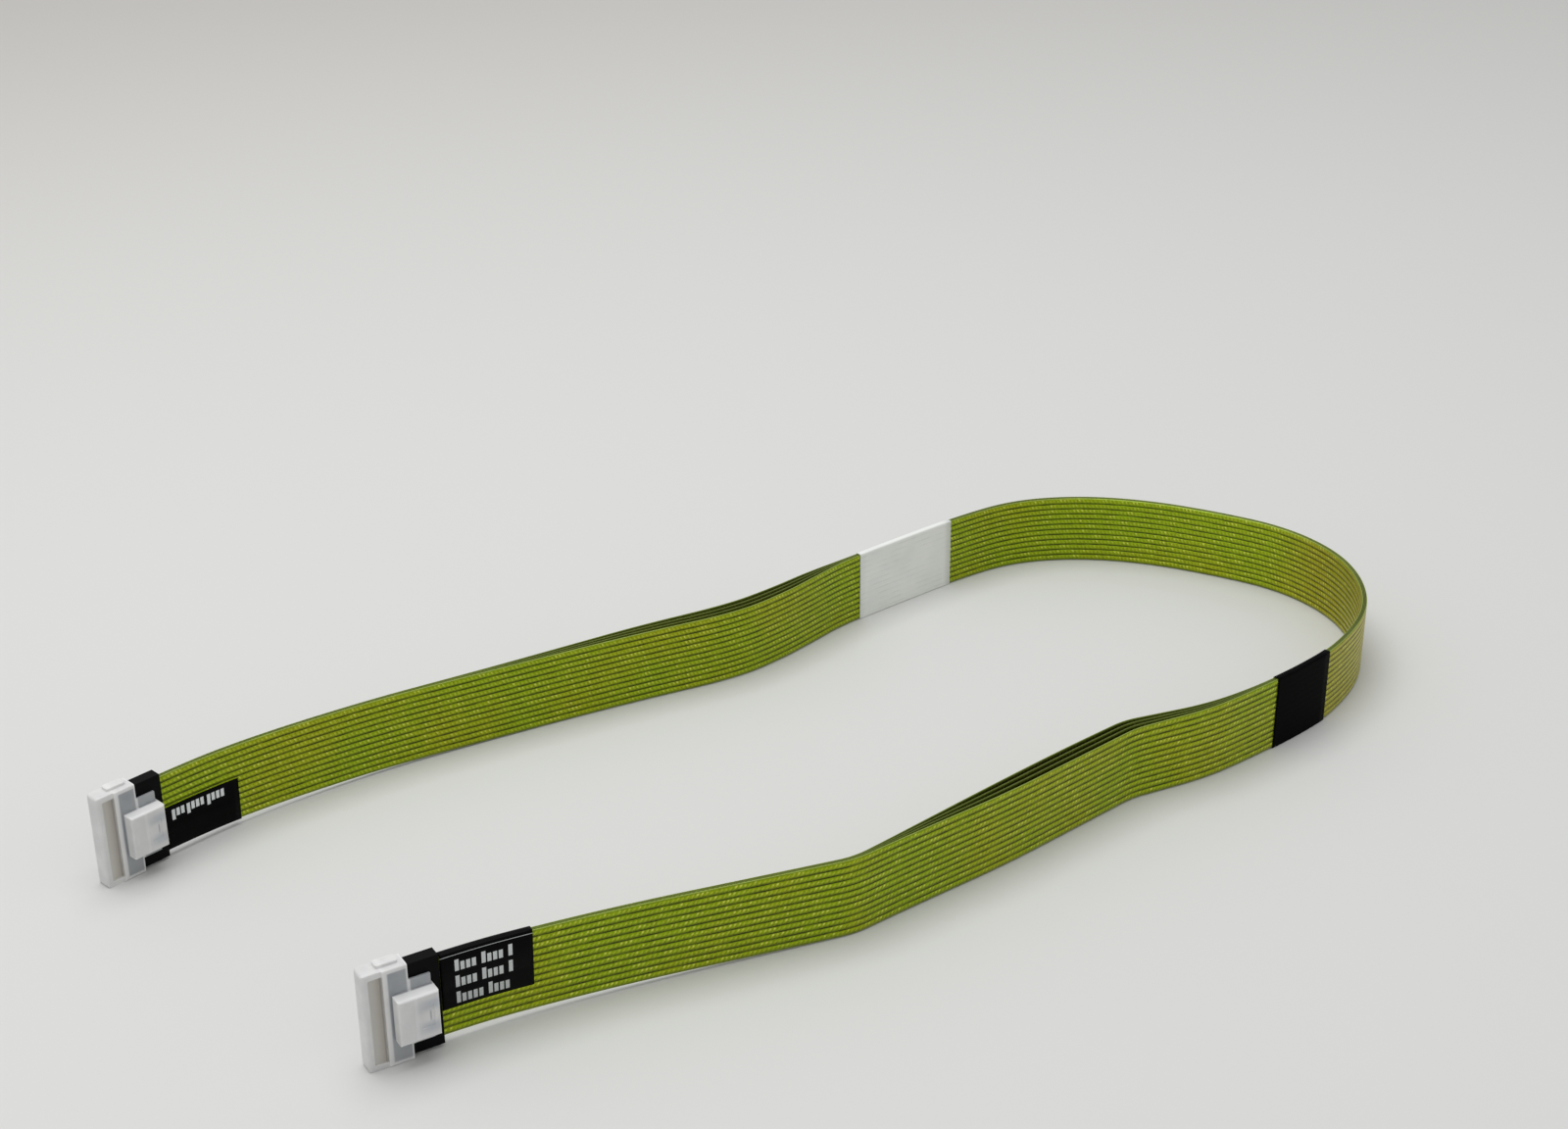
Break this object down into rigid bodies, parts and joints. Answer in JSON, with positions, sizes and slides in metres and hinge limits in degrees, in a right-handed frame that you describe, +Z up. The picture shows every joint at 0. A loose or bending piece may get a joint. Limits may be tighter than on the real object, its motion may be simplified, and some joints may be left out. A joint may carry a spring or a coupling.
{
  "type": "internal flat data cable",
  "caption": "Flat internal data cable: stacked twin-lead ribbons standing on edge in a long U, with a latching card-edge plug and a pull-off dust cap at each end.",
  "frame": {"origin": "centre of the footprint of the whole cable, on the surface that it stands on", "axes": "+X along the legs of the U, from the plugs to the bend; +Z up, across the ribbons' width"},
  "size_m": [0.4205, 0.1649, 0.0308],
  "materials": {
    "ribbon_jacket": "glossy olive-green twin-lead film with a foil wrap showing through",
    "label_film": "satin white printed film",
    "flag_film": "satin black film with pale grey bars",
    "black_tape": "matt black cloth-backed tape",
    "black_moulding": "fine-grained black moulded plastic",
    "cap_moulding": "milky translucent soft plastic",
    "spring_steel": "bright rolled spring steel",
    "board": "green solder-resist laminate",
    "gold_contact": "gold-plated contact pads"
  },
  "bodies": {
    "root": {"ribbon_1": "ribbon_jacket", "ribbon_2": "ribbon_jacket", "ribbon_3": "ribbon_jacket", "ribbon_4": "ribbon_jacket", "wrap_label": "label_film", "binding_tape": "black_tape", "flag_label_a": "flag_film", "shell_cover_a": "black_moulding", "shell_base_a": "black_moulding", "plug_nose_a": "black_moulding", "paddle_card_a": "board", "contact_pads_a": "gold_contact", "wire_potting_a": "black_moulding", "latch_pin_a": "spring_steel", "flag_label_b": "flag_film", "shell_cover_b": "black_moulding", "shell_base_b": "black_moulding", "plug_nose_b": "black_moulding", "paddle_card_b": "board", "contact_pads_b": "gold_contact", "wire_potting_b": "black_moulding", "latch_pin_b": "spring_steel"},
    "cap_a": {"dust_cap_a": "cap_moulding"},
    "latch_a": {"latch_button_a": "black_moulding", "latch_leaf_a": "spring_steel"},
    "cap_b": {"dust_cap_b": "cap_moulding"},
    "latch_b": {"latch_button_b": "black_moulding", "latch_leaf_b": "spring_steel"}
  },
  "joints": [
    {"name": "cap_a_pull", "type": "slide", "parent": "root", "child": "cap_a", "axis": [-0.9724, -0.2334, 0], "range_m": [0, 0.025]},
    {"name": "latch_a_press", "type": "hinge", "parent": "root", "child": "latch_a", "pos_m": [-0.1916, 0.06233, 0.015], "axis": [0, 0, -1], "range_deg": [0, 3], "stiffness_Nm_per_rad": 0.1},
    {"name": "cap_b_pull", "type": "slide", "parent": "root", "child": "cap_b", "axis": [-0.999, 0.0436, 0], "range_m": [0, 0.025]},
    {"name": "latch_b_press", "type": "hinge", "parent": "root", "child": "latch_b", "pos_m": [-0.16513, -0.06465, 0.015], "axis": [0, 0, -1], "range_deg": [0, 3], "stiffness_Nm_per_rad": 0.1}
  ]
}
